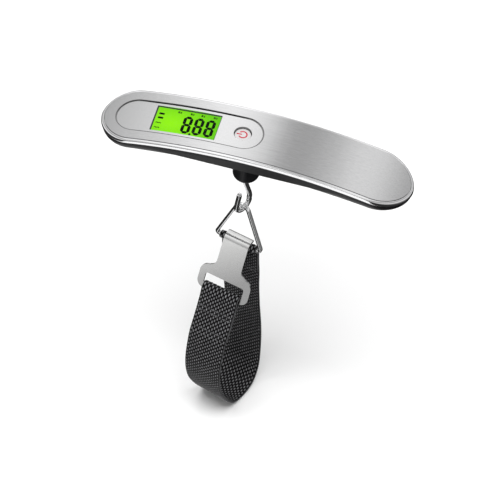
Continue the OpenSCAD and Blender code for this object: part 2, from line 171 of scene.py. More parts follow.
def ranged(nodes, links, value, low, high, start=0.3, stop=0.7):
    """Spread a value from start..stop, by default a noise's middle range, out to low..high."""
    node = nodes.new("ShaderNodeMapRange")
    links.new(value, node.inputs["Value"])
    node.inputs["From Min"].default_value = start
    node.inputs["From Max"].default_value = stop
    node.inputs["To Min"].default_value = low
    node.inputs["To Max"].default_value = high
    return node.outputs["Result"]


def finish(name, color, metallic=0.0, roughness=(0.3, 0.4), vary=0.05, scale=600.0,
           stretch=(1, 1, 1), grain=2500.0, grain_stretch=(1, 1, 1), bump=0.1,
           depth=0.00004, **fixed):
    """A surface with mottled colour, uneven roughness and fine grain.

    vary is the colour's share of variation, scale and grain are features per metre, and depth
    is the grain's in metres. fixed sets sockets that are the same all over, such as
    Coat_Weight=0.3.
    """
    material = bpy.data.materials.new(name)
    material.use_nodes = True
    nodes, links = material.node_tree.nodes, material.node_tree.links
    shader = nodes["Principled BSDF"]
    shader.inputs["Metallic"].default_value = metallic
    for key, value in fixed.items():
        shader.inputs[key.replace("_", " ")].default_value = value
    broad = noise(nodes, links, scale, stretch)
    fine = noise(nodes, links, grain, grain_stretch)
    dark = [c * (1 - vary) for c in color[:3]] + [1]
    light = [min(1, c * (1 + vary)) for c in color[:3]] + [1]
    shade = ranged(nodes, links, broad, 0, 1)
    links.new(socket_mix(nodes, links, shade, dark, light), shader.inputs["Base Color"])
    links.new(ranged(nodes, links, fine, *roughness), shader.inputs["Roughness"])
    height = nodes.new("ShaderNodeBump")
    height.inputs["Strength"].default_value = bump
    height.inputs["Distance"].default_value = depth
    links.new(fine, height.inputs["Height"])
    links.new(height.outputs["Normal"], shader.inputs["Normal"])
    return material


def dimmed(material, factor):
    """Multiply a material's base colour by a value socket."""
    nodes, links = material.node_tree.nodes, material.node_tree.links
    color = nodes["Principled BSDF"].inputs["Base Color"]
    links.new(socket_scale(nodes, links, color.links[0].from_socket, factor), color)


def painted_shade_along(material, direction, reach, low):
    """Paint shade into a material: darken its colour to a share of low along a direction fixed in
    the part, between the two distances in reach, in metres."""
    nodes, links = material.node_tree.nodes, material.node_tree.links
    coord = nodes.new("ShaderNodeTexCoord")
    along = nodes.new("ShaderNodeVectorMath")
    along.operation = "DOT_PRODUCT"
    along.inputs[1].default_value = direction
    links.new(coord.outputs["Object"], along.inputs[0])
    dimmed(material, ranged(nodes, links, along.outputs["Value"], 1.0, low, *reach))


def painted_weave_shade(material, start):
    """Paint shade into the weave's low places: darken a material to black as the mesh attribute named lift goes
    from 1 down to start.
    """
    nodes, links = material.node_tree.nodes, material.node_tree.links
    lift = nodes.new("ShaderNodeAttribute")
    lift.attribute_name = "lift"
    dimmed(material, ranged(nodes, links, lift.outputs["Fac"], 0.0, 1.0, start, 1.0))


def glow(name, color, core, edge, centre, reach, strength):
    """A lit display: core colour at centre, edge colour at reach millimetres away."""
    material = finish(name, color, roughness=(0.25, 0.35), bump=0.02,
                      Emission_Strength=strength, Specular_IOR_Level=0.1)
    nodes, links = material.node_tree.nodes, material.node_tree.links
    coord = nodes.new("ShaderNodeTexCoord")
    mapping = nodes.new("ShaderNodeMapping")
    mapping.vector_type = "TEXTURE"
    mapping.inputs["Location"].default_value = [c * MM for c in centre]
    mapping.inputs["Scale"].default_value = [r * MM for r in reach]
    gradient = nodes.new("ShaderNodeTexGradient")
    gradient.gradient_type = "SPHERICAL"
    links.new(coord.outputs["Object"], mapping.inputs["Vector"])
    links.new(mapping.outputs["Vector"], gradient.inputs["Vector"])
    lit = socket_mix(nodes, links, gradient.outputs["Fac"], edge, core)
    links.new(lit, nodes["Principled BSDF"].inputs["Emission Color"])
    return material


METAL, PLASTIC = 1.0, 0.0
# How noise is drawn out on surfaces that are worked along X
BRUSHED = (0.012, 1, 1)
LENGTHWISE = (0.01, 1, 1)
DRAWN = (0.05, 1, 1)

# Each look is its name, then colour, metallic, roughness and variation, then what is special
LOOKS = {look: finish(look, *basics, **special) for look, basics, special in (
    ("steel_plate", ((0.70, 0.70, 0.705), METAL, (0.08, 0.17), 0.05),
     dict(scale=2600, stretch=BRUSHED, grain=8000, grain_stretch=LENGTHWISE, depth=0.00002)),
    ("silver_trim", ((0.93, 0.93, 0.94), METAL, (0.10, 0.16), 0.02),
     dict(scale=300, bump=0.02)),
    ("silver_bezel", ((0.76, 0.76, 0.765), METAL, (0.15, 0.22), 0.03),
     dict(scale=1500, grain=6000, bump=0.06, depth=0.00002)),
    ("black_shell", ((0.008, 0.008, 0.009), PLASTIC, (0.30, 0.42), 0.2),
     dict(scale=400, grain=4200, bump=0.2, depth=0.00005, Specular_IOR_Level=0.14)),
    ("clear_window", ((0.01, 0.02, 0.01), PLASTIC, (0.04, 0.08), 0.02),
     dict(scale=300, bump=0.01, Alpha=0.05, Specular_IOR_Level=0.2)),
    ("diffuser", ((0.6, 1.0, 0.4), PLASTIC, (0.4, 0.5), 0.05), {}),
    ("grey_rubber", ((0.16, 0.16, 0.17), PLASTIC, (0.6, 0.75), 0.1), dict(bump=0.2)),
    ("board_green", ((0.02, 0.20, 0.08), PLASTIC, (0.25, 0.4), 0.25),
     dict(scale=900, bump=0.15)),
    ("potting_black", ((0.02, 0.02, 0.02), PLASTIC, (0.2, 0.35), 0.2), {}),
    ("button_white", ((0.42, 0.41, 0.412), PLASTIC, (0.25, 0.33), 0.02),
     dict(scale=400, bump=0.03, Coat_Weight=0.3, Coat_Roughness=0.15)),
    ("cell_steel", ((0.7, 0.7, 0.7), METAL, (0.2, 0.35), 0.05), dict(scale=900)),
    ("contact_metal", ((0.8, 0.62, 0.3), METAL, (0.25, 0.4), 0.1), dict(scale=900)),
    ("beam_alloy", ((0.65, 0.67, 0.70), METAL, (0.3, 0.42), 0.06),
     dict(scale=1500, stretch=DRAWN)),
    ("potting_white", ((0.8, 0.8, 0.76), PLASTIC, (0.35, 0.5), 0.04), {}),
    ("zinc_steel", ((0.55, 0.56, 0.58), METAL, (0.25, 0.4), 0.1), dict(scale=1200)),
    ("bush_white", ((0.8, 0.79, 0.75), PLASTIC, (0.35, 0.45), 0.03), {}),
    ("chrome_wire", ((0.93, 0.93, 0.935), METAL, (0.05, 0.08), 0.02),
     dict(scale=500, bump=0.004)),
    ("nickel_buckle", ((0.86, 0.86, 0.855), METAL, (0.22, 0.27), 0.015),
     dict(scale=700, grain=5000, bump=0.02, depth=0.00001)),
    ("webbing_black", ((0.17, 0.17, 0.176), PLASTIC, (0.38, 0.6), 0.4),
     dict(scale=900, grain=9000, bump=0.4, depth=0.00008, Specular_IOR_Level=0.1)),
    ("thread_black", ((0.085, 0.085, 0.088), PLASTIC, (0.4, 0.55), 0.3),
     dict(scale=3000, bump=0.4)),
    ("film", ((0.8, 0.76, 0.5), PLASTIC, (0.4, 0.5), 0.05), {}),
    ("lead_red", ((0.45, 0.03, 0.03), PLASTIC, (0.35, 0.45), 0.1), {}),
    ("lead_black", ((0.02, 0.02, 0.02), PLASTIC, (0.35, 0.45), 0.2), {}),
    ("segment_black", ((0.001, 0.003, 0.001), PLASTIC, (0.4, 0.5), 0.1),
     dict(bump=0.02, Specular_IOR_Level=0.05)),
    ("mark_green", ((0.003, 0.012, 0.003), PLASTIC, (0.4, 0.5), 0.1),
     dict(bump=0.02, Specular_IOR_Level=0.05)),
    ("symbol_red", ((0.36, 0.035, 0.05), PLASTIC, (0.3, 0.4), 0.08), dict(bump=0.03)),
    # Dark grey for the seam round the display insert and the button hole's wall: painted shade in these recesses
    ("groove_dark", ((0.17, 0.17, 0.17), PLASTIC, (0.5, 0.6), 0.1), {}),
)}
# Painted shade: the buckle darkens towards the bottom and one side, standing in for its reflection fading down the
# plate
painted_shade_along(LOOKS["nickel_buckle"], (0.55, 0.0, -0.83), (0.064, 0.083), 0.54)
# Painted shade: the webbing goes black in the weave's low places and stays lightest on the yarns' tops
painted_weave_shade(LOOKS["webbing_black"], 0.38)
LOOKS["lcd"] = glow(
    "lcd", color=(0.004, 0.01, 0.002), core=(0.29, 0.86, 0.002, 1), edge=(0.02, 0.34, 0.002, 1),
    centre=(WINDOW_MID - 8, -1.5, -2), reach=(38, 24, 20), strength=1.24)

for subpart in frame["record"]["subparts"]:
    cad = frame["nodes"][subpart["node"]]
    if not cad.material_slots:
        cad.data.materials.append(None)
    for material_slot in cad.material_slots:
        material_slot.material = LOOKS[subpart["material_slot"]]


# ---------------------------------------------------------------- mesh helpers

# Points closer than this are one, in metres
JOIN_M = 1e-7
# Degrees above which an edge is left crisp
CRISP = 35


def add(name, data):
    """A new object in the scene."""
    obj = bpy.data.objects.new(name, data)
    bpy.context.scene.collection.objects.link(obj)
    return obj


def cleaned(name, verts, faces):
    """A mesh from points in millimetres, with its points joined and its normals outward."""
    mesh = bpy.data.meshes.new(name)
    mesh.from_pydata([tuple(Vector(v) * MM) for v in verts], [], faces)
    build = bmesh.new()
    build.from_mesh(mesh)
    bmesh.ops.remove_doubles(build, verts=build.verts, dist=JOIN_M)
    bmesh.ops.recalc_face_normals(build, faces=build.faces)
    build.to_mesh(mesh)
    build.free()
    return mesh


def shade(mesh, crisp):
    """Shade smooth, apart from edges that turn by more than crisp degrees."""
    mesh.shade_smooth()
    mesh.set_sharp_from_angle(angle=math.radians(crisp))


def place(name, mesh, body, look, smooth=True, crisp=CRISP):
    """Put a mesh in the scene with its look, riding on a body."""
    obj = add(name, mesh)
    mesh.materials.append(LOOKS[look])
    if smooth:
        shade(mesh, crisp)
    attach(obj, body)
    return obj


def piece(name, verts, faces, body, look, slot=None, smooth=True, crisp=CRISP):
    """A mesh piece from points in millimetres, riding on a body."""
    return place(name, cleaned(name, verts, faces), body, look, smooth, crisp)


def solid(verts, faces):
    """A loose closed mesh, for cutting with."""
    return add("cutter", cleaned("cutter", verts, faces))


def skin(rows, closed_rows=False, closed_columns=True, caps=False):
    """Quads between rows of points that all have the same count."""
    count = len(rows[0])
    verts = [p for row in rows for p in row]
    faces = []
    row_pairs = len(rows) if closed_rows else len(rows) - 1
    column_pairs = count if closed_columns else count - 1
    for r in range(row_pairs):
        for c in range(column_pairs):
            here, there = r * count, (r + 1) % len(rows) * count
            step = (c + 1) % count
            faces.append((here + c, here + step, there + step, there + c))
    if caps:
        last = (len(rows) - 1) * count
        faces.append(tuple(range(count))[::-1])
        faces.append(tuple(range(last, last + count)))
    return verts, faces


def merged(parts):
    """Several pairs of points and faces as one pair."""
    verts, faces = [], []
    for points, quads in parts:
        faces += [tuple(i + len(verts) for i in quad) for quad in quads]
        verts += points
    return verts, faces


def layers(put, ring, heights):
    """Rows of points: a flat outline at each height, moved by the matrix put."""
    return [[put @ Vector((x, y, z)) for x, y in ring] for z in heights]


def encloses(ring, x, y):
    """Whether a closed flat outline goes round a point."""
    inside = False
    for (ax, ay), (bx, by) in zip(ring, ring[1:] + ring[:1]):
        if (ay > y) != (by > y) and x < ax + (bx - ax) * (y - ay) / (by - ay):
            inside = not inside
    return inside


# Millimetres in a flat plate: how far cuts snap to its points, and the shortest edge kept
SNAP = 1e-4
SLIVER = 2e-3
# Degrees above which a plate's edge is rounded
ROUND_ABOVE = 40


def sheet(name, outline, holes, shape, cuts, cut_axis, thickness, bevel, body, look,
          segments=3):
    """A thin plate: a flat outline with holes, sliced at cuts along cut_axis, bent by
    shape(x, y), then given a thickness below its face and rounded edges."""
    points, edges = [], []
    for ring in [outline, *holes]:
        first, count = len(points), len(ring)
        points += [Vector(p) for p in ring]
        edges += [(first + i, first + (i + 1) % count) for i in range(count)]
    reach = 2 * max(abs(v) for p in outline for v in p)
    for cut in cuts:
        ends = ((cut, -reach), (cut, reach)) if cut_axis == 0 else ((-reach, cut), (reach, cut))
        edges.append((len(points), len(points) + 1))
        points += [Vector(p) for p in ends]
    flat, _, faces, *_ = delaunay_2d_cdt(points, edges, [], 0, SNAP)
    build = bmesh.new()
    corners = [build.verts.new((p.x, p.y, 0)) for p in flat]
    for face in faces:
        middle = sum((flat[i] for i in face), Vector((0, 0))) / len(face)
        if encloses(outline, *middle) and not any(encloses(h, *middle) for h in holes):
            build.faces.new([corners[i] for i in face])
    bmesh.ops.delete(build, geom=[v for v in build.verts if not v.link_faces],
                     context="VERTS")
    bmesh.ops.remove_doubles(build, verts=build.verts, dist=SLIVER)
    for face in build.faces:
        face.normal_update()
        if face.normal.z < 0:
            face.normal_flip()
    for vert in build.verts:
        vert.co = Vector(shape(vert.co.x, vert.co.y)) * MM
    mesh = bpy.data.meshes.new(name)
    build.to_mesh(mesh)
    build.free()
    obj = place(name, mesh, body, look, crisp=ROUND_ABOVE)
    thicken = obj.modifiers.new("thickness", "SOLIDIFY")
    thicken.thickness = thickness * MM
    thicken.offset = -1
    rounding = obj.modifiers.new("rounding", "BEVEL")
    rounding.width = bevel * MM
    rounding.segments = segments
    rounding.limit_method = "ANGLE"
    rounding.angle_limit = math.radians(ROUND_ABOVE)
    rounding.use_clamp_overlap = True
    rounding.harden_normals = True
    return obj


def arc(cx, cy, radius, start, stop, steps):
    """Points on an arc, in degrees, ends included."""
    turns = [math.radians(start + (stop - start) * i / steps) for i in range(steps + 1)]
    return [(cx + radius * math.cos(t), cy + radius * math.sin(t)) for t in turns]


def rounded_box(width, height, radius, cx=0.0, cy=0.0, steps=8):
    """Outline of a rectangle with round corners."""
    ring = []
    for sx, sy, start in ((1, -1, -90), (1, 1, 0), (-1, 1, 90), (-1, -1, 180)):
        x, y = cx + sx * (width / 2 - radius), cy + sy * (height / 2 - radius)
        ring += arc(x, y, radius, start, start + 90, steps)
    return ring


def stadium(length, width, mid, steps=40):
    """Outline with straight sides and half-round ends, along X about mid."""
    r = width / 2
    reach = length / 2 - r
    return arc(mid + reach, 0, r, -90, 90, steps) + arc(mid - reach, 0, r, 90, 270, steps)


def revolve(profile, steps=64):
    """A ring of quads from a profile of (radius, height)."""
    rows = []
    for i in range(steps):
        turn = 2 * math.pi * i / steps
        rows.append([(r * math.cos(turn), r * math.sin(turn), z) for r, z in profile])
    return skin(rows, closed_rows=True, closed_columns=False)


def boolean(obj, cutter, operation="DIFFERENCE"):
    """Apply a boolean and drop the cutter."""
    modifier = obj.modifiers.new("cut", "BOOLEAN")
    modifier.object = cutter
    modifier.operation = operation
    modifier.solver = "EXACT"
    graph = bpy.context.evaluated_depsgraph_get()
    result = bpy.data.meshes.new_from_object(obj.evaluated_get(graph))
    obj.modifiers.clear()
    obj.data = result
    bpy.data.objects.remove(cutter)


# Z of cutters for the lower shell, from well under it up to its hollow
CUT_LOW = -30
CUT_HIGH = -8


def prism(ring, high=CUT_HIGH):
    """A straight cutter on a flat outline, from under the handle up to high."""
    return solid(*skin([[(x, y, z) for x, y in ring] for z in (CUT_LOW, high)], caps=True))


# ---------------------------------------------------------------- handle

END_POWER = 1.85
END_STEPS = 40
SIDE_STEP = 4.0
SLICE = 1.5
PLATE_INSET = 1.5
PLATE_T = 0.6
RIM_FOOT = -2.86


def handle_outline(inset):
    """Points round the handle's plan, with soft squarish ends, pulled in by inset."""
    half_w = HANDLE_W / 2 - inset
    sides = int((SPINE_RIGHT - SPINE_LEFT) / SIDE_STEP)

    def end(cx, reach, start):
        ring = []
        for i in range(END_STEPS + 1):
            turn = math.radians(start + 180 * i / END_STEPS)
            c, s = math.cos(turn), math.sin(turn)
            x = cx + reach * math.copysign(abs(c) ** (2 / END_POWER), c)
            ring.append((x, half_w * math.copysign(abs(s) ** (2 / END_POWER), s)))
        return ring

    between = [SPINE_LEFT + (SPINE_RIGHT - SPINE_LEFT) * i / sides for i in range(1, sides)]
    ring = end(SPINE_RIGHT, RIGHT_END - inset, -90)
    ring += [(x, half_w) for x in reversed(between)]
    ring += end(SPINE_LEFT, LEFT_END - inset, 90)
    ring += [(x, -half_w) for x in between]
    return ring


def slices(start, length):
    """Cuts across a plate, so that it bends smoothly over the arch."""
    return [start + SLICE * i for i in range(1, int(length / SLICE) + 1)]


def face_plate():
    """The brushed steel plate, with its opening for the display insert."""
    opening = stadium(BEZEL_LEN + 1.0, BEZEL_W + 1.0, BEZEL_MID)
    plate = sheet("face_plate_brushed", handle_outline(PLATE_INSET), [opening], on_arch,
                  slices(HANDLE_MID - HANDLE_LEN / 2, HANDLE_LEN), 0, PLATE_T, 0.16,
                  "handle", "steel_plate")
    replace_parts(plate, "face_plate", "adhesive_film")


def rim():
    """The silver rim: a dark seam round the plate, a soft top edge and an upright side."""
    seam = [(3.2, -0.85), (PLATE_INSET + 0.1, -0.85), (1.32, -0.6), (1.3, -0.22)]
    edge = [(1.16, -0.1), (0.9, -0.06), (0.62, -0.12), (0.36, -0.28), (0.16, -0.55),
            (0.04, -0.9), (0.0, -1.3), (0.0, -1.9), (0.05, -2.3), (0.2, -2.62),
            (0.45, -2.8), (1.0, RIM_FOOT), (3.0, RIM_FOOT)]
    rows = [[on_arch(x, y, height) for x, y in handle_outline(inset)]
            for inset, height in seam + edge]
    trim = piece("rim_silver", *skin(rows), "handle", "silver_trim")
    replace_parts(trim, "upper_casing")


BELLY_INSET = 0.45
BELLY_DEPTH = 13.9
BELLY_TIP_RISE = 4.0
BELLY_STEPS = 22
WALL = 1.6
HOLLOW_TOP = -2.0
SHELL_CRISP = 38


def belly(inset, top=RIM_FOOT):
    """The lower shell's closed form: rings that draw in from the rim to the spine, and down."""
    outline = handle_outline(BELLY_INSET + inset)
    rows = [[on_arch(x, y, top) for x, y in outline]]
    for i in range(1, BELLY_STEPS + 1):
        turn = math.pi / 2 * i / BELLY_STEPS
        pull = math.cos(turn)
        row = []
        for x, y in outline:
            spine = min(max(x, SPINE_LEFT), SPINE_RIGHT)
            px, py = spine + (x - spine) * pull, y * pull
            along = (px - HANDLE_MID) / (HANDLE_LEN / 2)
            depth = BELLY_DEPTH - inset - BELLY_TIP_RISE * along * along
            row.append(Vector((px, py, arch(px, top) - depth * math.sin(turn))))
        rows.append(row)
    verts, faces = skin(rows)
    faces.append(tuple(range(len(outline)))[::-1])
    return verts, faces


# Screw wells: X, Y and the Z of the screw's seat
WELLS = [(x, side * y, seat) for side in (-1, 1) for x, y, seat in
         ((-58, 10.5, -12.8), (20, 9.2, -11.4))]
WELL_R = 2.1
DOOR_GAP = 0.3
GRIPS = 5
GRIP_PITCH = 1.7
GRIP_DEPTH = 0.45


def shell():
    """Black lower shell with its screw wells and the battery opening cut through."""
    casing = piece("lower_shell", *belly(0), "handle", "black_shell")
    boolean(casing, solid(*belly(WALL, HOLLOW_TOP)))
    for x, y, seat in WELLS:
        boolean(casing, prism(arc(x, y, WELL_R, 0, 350, 35), seat))
    boolean(casing, prism(rounded_box(DOOR_LEN + 2 * DOOR_GAP, DOOR_W + 2 * DOOR_GAP, 2.0,
                                      DOOR_MID)))
    shade(casing.data, SHELL_CRISP)
    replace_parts(casing, "lower_casing")


BOSS_R = 6.6
BOSS_ROUND = 3.2
BOSS_FLARE = 2.2
BOSS_ROOT = -17.3


def boss():
    """The round boss: the hook's hole, a soft lower edge and a flare into the shell."""
    profile = [(1.9, BOSS_END + 9), (2.1, BOSS_END + 0.4), (2.35, BOSS_END + 0.05),
               (2.6, BOSS_END)]
    profile += arc(BOSS_R - BOSS_ROUND, BOSS_END + BOSS_ROUND, BOSS_ROUND, -90, 0, 12)
    profile += arc(BOSS_R + BOSS_FLARE, BOSS_ROOT, BOSS_FLARE, 180, 110, 6)
    piece("boss", *revolve(profile), "handle", "black_shell")


def battery_door():
    """The door, cut from the same form as the shell, with grip grooves across it."""
    door = piece("battery_door_ribbed", *belly(0.02), "door", "black_shell")
    boolean(door, solid(*belly(WALL, HOLLOW_TOP)))
    boolean(door, prism(rounded_box(DOOR_LEN, DOOR_W, 1.7, DOOR_MID)), "INTERSECT")
    for i in range(GRIPS):
        groove = prism(rounded_box(0.8, 9.0, 0.39, DOOR_HIGH.x - 3.2 - GRIP_PITCH * i))
        boolean(groove, solid(*belly(GRIP_DEPTH)))
        boolean(door, groove)
    shade(door.data, SHELL_CRISP)
    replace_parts(door, "battery_door")


# ---------------------------------------------------------------- display and button

BEZEL_SINK = 0.5
BEZEL_T = 1.9
SEAM_FLOOR = -1.1
LCD_FACE = -1.5
LCD_BACK = -3.4
FIGURE_W = 4.6
FIGURE_H = 11.0
FIGURE_STROKE = 1.5
FIGURE_GAP = 0.16


def bezel():
    """The silver insert round the display, with its window and button hole."""
    outline = stadium(BEZEL_LEN - 0.5, BEZEL_W - 0.5, BEZEL_MID)
    window = rounded_box(WINDOW_W, WINDOW_H, 0.25, WINDOW_MID, steps=3)
    button = arc(BUTTON_X, 0, BUTTON_HOLE_R, 0, 354, 59)
    insert = sheet("display_bezel_silver", outline, [window, button],
                   lambda x, y: on_arch(x, y, -BEZEL_SINK), slices(BEZEL_LOW.x, BEZEL_LEN), 0,
                   BEZEL_T, 0.2, "handle", "silver_bezel")
    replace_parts(insert, "display_bezel")
    # A dark grey strip under the gap round the insert, its colour painted shade in the groove
    seam = [[on_arch(x, y, SEAM_FLOOR) for x, y in
             stadium(BEZEL_LEN + grow, BEZEL_W + grow, BEZEL_MID)] for grow in (-1.0, 1.6)]
    piece("bezel_seam", *skin(seam), "handle", "groove_dark", "black_shell")


def segment(cx, cy, length, width, upright):
    """One bar of a numeral, with pointed ends."""
    half, w = length / 2, width / 2
    ring = [(-half, 0), (-half + w, -w), (half - w, -w), (half, 0), (half - w, w),
            (-half + w, w)]
    if upright:
        ring = [(-y, x) for x, y in ring]
    return [(cx + x, cy + y) for x, y in ring]


def numeral(cx, cy):
    """All seven bars of a figure 8."""
    w, h = (FIGURE_W - FIGURE_STROKE) / 2, (FIGURE_H - FIGURE_STROKE) / 2
    bars = [segment(cx, cy + s * h, 2 * w - FIGURE_GAP, FIGURE_STROKE, False)
            for s in (-1, 0, 1)]
    bars += [segment(cx + sx * w, cy + sy * h / 2, h - FIGURE_GAP, FIGURE_STROKE, True)
             for sx in (-1, 1) for sy in (-1, 1)]
    return bars


def stroke_bar(ax, ay, bx, by, width):
    """A straight thin bar between two points."""
    dx, dy = bx - ax, by - ay
    run = math.hypot(dx, dy)
    nx, ny = -dy / run * width / 2, dx / run * width / 2
    return [(ax + nx, ay + ny), (ax - nx, ay - ny), (bx - nx, by - ny), (bx + nx, by + ny)]


def on_window(u, v):
    """From shares of the window, right and down, to millimetres from its middle."""
    return WINDOW_W * (u - 0.5), WINDOW_H * (0.5 - v)


def figures():
    """Outlines of the figures 8.88 and of two bars at their left."""
    shapes = []
    for i in range(3):
        shapes += numeral(*on_window(0.514 + 0.177 * i, 0.56))
    shapes.append(arc(*on_window(0.602, 0.90), 0.62, 0, 330, 11))
    for v in (0.27, 0.435):
        shapes.append(rounded_box(2.6, 1.15, 0.2, *on_window(0.09, v), steps=3))
    return shapes


def marks():
    """Outlines of the small marks: ticks in two rows at the left, and strokes along the top."""
    shapes = []
    for u, v in ((0.088, 0.64), (0.086, 0.83)):
        x, y = on_window(u, v)
        for i in range(4):
            left = x - 1.25 + 0.68 * i
            shapes.append(stroke_bar(left, y - 0.38, left, y + 0.38, 0.3))
            shapes.append(stroke_bar(left, y + 0.3 * (-1) ** i, left + 0.42, y, 0.26))
    for u in (0.352, 0.546, 0.712, 0.904):
        x, y = on_window(u, 0.11)
        shapes.append(stroke_bar(x - 0.7, y - 0.6, x - 0.7, y + 0.7, 0.42))
        shapes.append(stroke_bar(x - 0.5, y, x + 0.1, y + 0.45, 0.34))
        shapes.append(stroke_bar(x - 0.5, y, x + 0.1, y - 0.55, 0.34))
        shapes.append(stroke_bar(x + 0.6, y - 0.6, x + 0.6, y + 0.45, 0.42))
    return shapes


def display():
    """The lit green panel with its figures and marks, a gasket round it and the pane over it."""
    put = tangent_frame(WINDOW_MID)

    def block(name, ring, low, high, look):
        rows = layers(put, ring, (low, high))
        return piece(name, *skin(rows, caps=True), "handle", look, smooth=False)

    def printed(name, shapes, look, thickness):
        rows = [layers(put, ring, (LCD_FACE, LCD_FACE + thickness)) for ring in shapes]
        piece(name, *merged(skin(r, caps=True) for r in rows), "handle", look, "lcd",
              smooth=False)

    panel = rounded_box(WINDOW_W + 0.6, WINDOW_H + 0.6, 0.3)
    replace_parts(block("lcd_lit", panel, LCD_BACK, LCD_FACE, "lcd"), "lcd_panel")
    printed("lcd_figures", figures(), "segment_black", 0.06)
    printed("lcd_marks", marks(), "mark_green", 0.05)

    gasket = []
    for wide, z in ((-0.4, LCD_FACE), (-0.4, LCD_FACE + 0.12), (0.75, LCD_FACE + 0.12),
                    (0.75, LCD_FACE)):
        gasket += layers(put, rounded_box(WINDOW_W - wide, WINDOW_H - wide, 0.25), (z,))
    piece("lcd_gasket", *skin(gasket, closed_rows=True), "handle", "potting_black",
          smooth=False)

    pane = rounded_box(WINDOW_W - 0.1, WINDOW_H - 0.1, 0.25)
    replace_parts(block("window_pane", pane, -1.35, -1.05, "clear_window"), "display_window")


CAP_TOP = -1.35
CAP_WALL = 0.8
CAP_EDGE = 0.45
SYMBOL_R = 1.95
SYMBOL_STROKE = 0.68
SYMBOL_GAP = 36
WELL_FLOOR = -3.0


def ladder(ring, rows):
    """A thin block on a bent outline, its top and bottom closed rung by rung across it."""
    points, faces = skin(rows)
    count = len(ring)
    for level in (0, count):
        for i in range(count // 2 - 1):
            rung = (i, i + 1, count - 2 - i, count - 1 - i)
            faces.append(tuple(k + level for k in rung))
    return points, faces


def power_button():
    """A slightly domed white button with a power symbol, down in its hole."""
    top, r = CAP_TOP, BUTTON_R
    profile = [(0.0, top), (1.2, top - 0.01), (2.4, top - 0.05), (3.3, top - 0.12)]
    profile += arc(r - CAP_EDGE, top - 0.62, CAP_EDGE, 80, 0, 6)
    profile += [(r, top - 1.7), (r - CAP_WALL, top - 1.7), (r - CAP_WALL, top - 0.9),
                (0.0, top - 0.9)]
    put = tangent_frame(BUTTON_X)

    def turned(name, outline, body, look, slot=None):
        verts, faces = revolve(outline)
        return piece(name, [put @ Vector(v) for v in verts], faces, body, look, slot)

    cap = turned("power_button_cap", profile, "button", "button_white")
    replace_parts(cap, "power_button")

    outer = arc(0, 0, SYMBOL_R + SYMBOL_STROKE / 2, 180 + SYMBOL_GAP, 540 - SYMBOL_GAP, 40)
    inner = arc(0, 0, SYMBOL_R - SYMBOL_STROKE / 2, 540 - SYMBOL_GAP, 180 + SYMBOL_GAP, 40)
    bar = rounded_box(2.7, SYMBOL_STROKE, 0.3, -1.75, 0, 4)
    shapes = [ladder(ring, layers(put, ring, (top - 0.1, top + 0.035)))
              for ring in (outer + inner, bar)]
    symbol = piece("power_symbol", *merged(shapes), "button", "symbol_red", "button_white",
                   smooth=False)
    symbol.parent = cap
    symbol.matrix_parent_inverse = Matrix.Identity(4)

    # The hole's wall in dark grey, its colour painted shade inside the hole
    hole = BUTTON_HOLE_R - 0.02
    wall = [(hole, -BEZEL_SINK - 0.25), (hole, WELL_FLOOR), (2.0, WELL_FLOOR)]
    turned("button_well", wall, "handle", "groove_dark", "black_shell")


# ---------------------------------------------------------------- swept metal

WIRE_CRISP = 60


def catmull(points, steps):
    """A smooth curve through points."""
    out = []
    last = len(points) - 1
    for i in range(last):
        a, b, c, d = [Vector(points[min(max(i + k, 0), last)]) for k in (-1, 0, 1, 2)]
        for j in range(steps):
            t = j / steps
            out.append(0.5 * (2 * b + (c - a) * t + (2 * a - 5 * b + 4 * c - d) * t * t
                              + (3 * b - a - 3 * c + d) * t ** 3))
    out.append(Vector(points[-1]))
    return out


def heading(line, i, closed=False):
    """Direction of a line of points at its point i."""
    last = len(line) - 1
    ahead = line[0 if closed and i == last else min(i + 1, last)]
    behind = line[i - 1 if closed else max(i - 1, 0)]
    return (ahead - behind).normalized()


def sweep(path, section, side, closed=False, sizes=None):
    """Carry a section (across, out) along a flat path whose plane has the normal side."""
    rows = []
    for i, p in enumerate(path):
        out = heading(path, i, closed).cross(side)
        size = sizes[i] if sizes else 1.0
        rows.append([p + side * a * size + out * b * size for a, b in section])
    return skin(rows, closed_rows=closed, caps=not closed)


def tapered(count, blunt):
    """Section sizes along a path whose far end is rounded off over blunt steps."""
    sizes = [1.0] * count
    for i in range(blunt):
        sizes[count - 1 - i] = math.sqrt(1 - (1 - (i + 0.35) / blunt) ** 2) ** 0.6
    return sizes


BEND_Z = -50.9
BEND_R = 4.4
NECK_Z = BOSS_END - 3.5
HOOK_TURN = math.radians(75)
HOOK_ROD = 2.34


def hook():
    """The hook: a squarish plated rod from the boss, out to one side, round and up."""
    along = Vector((math.cos(HOOK_TURN), math.sin(HOOK_TURN), 0))
    side = hanging(Vector((-along.y, along.x, 0)))
    along = hanging(along)
    lean = math.asin(BEND_R / (NECK_Z - BEND_Z))
    points = [(0, BOSS_END + 9), (0, BOSS_END + 3), (-0.5, BOSS_END - 0.6), (-0.8, NECK_Z + 1.4)]
    start = (BEND_R * math.cos(lean), BEND_Z + BEND_R * math.sin(lean))
    for share, swell in ((0.02, -0.2), (0.35, 0.15), (0.66, 0.6), (0.9, 0.55)):
        points.append((start[0] * share + swell, NECK_Z + (start[1] - NECK_Z) * share))
    points += arc(0, BEND_Z, BEND_R, math.degrees(lean), -180, 14)
    points += [(-BEND_R + 0.35, BEND_Z + 3), (-3.35, BOSS_END - 13.6), (-3.1, BOSS_END - 11.2)]
    path = catmull([along * x + Vector((0, 0, z)) for x, z in points], 6)
    section = rounded_box(HOOK_ROD, HOOK_ROD, 0.85, steps=5)
    rod = piece("hook_rod", *sweep(path, section, side, sizes=tapered(len(path), 4)),
                "hook_body", "chrome_wire", crisp=WIRE_CRISP)
    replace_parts(rod, "hook")


RING_HALF = 12.6
RING_ANGLE = math.radians(20)
APEX_R = 3.6
APEX_Z = -52.5
CORNER_R = 1.5
RING_T = 1.7
RING_W = 2.2


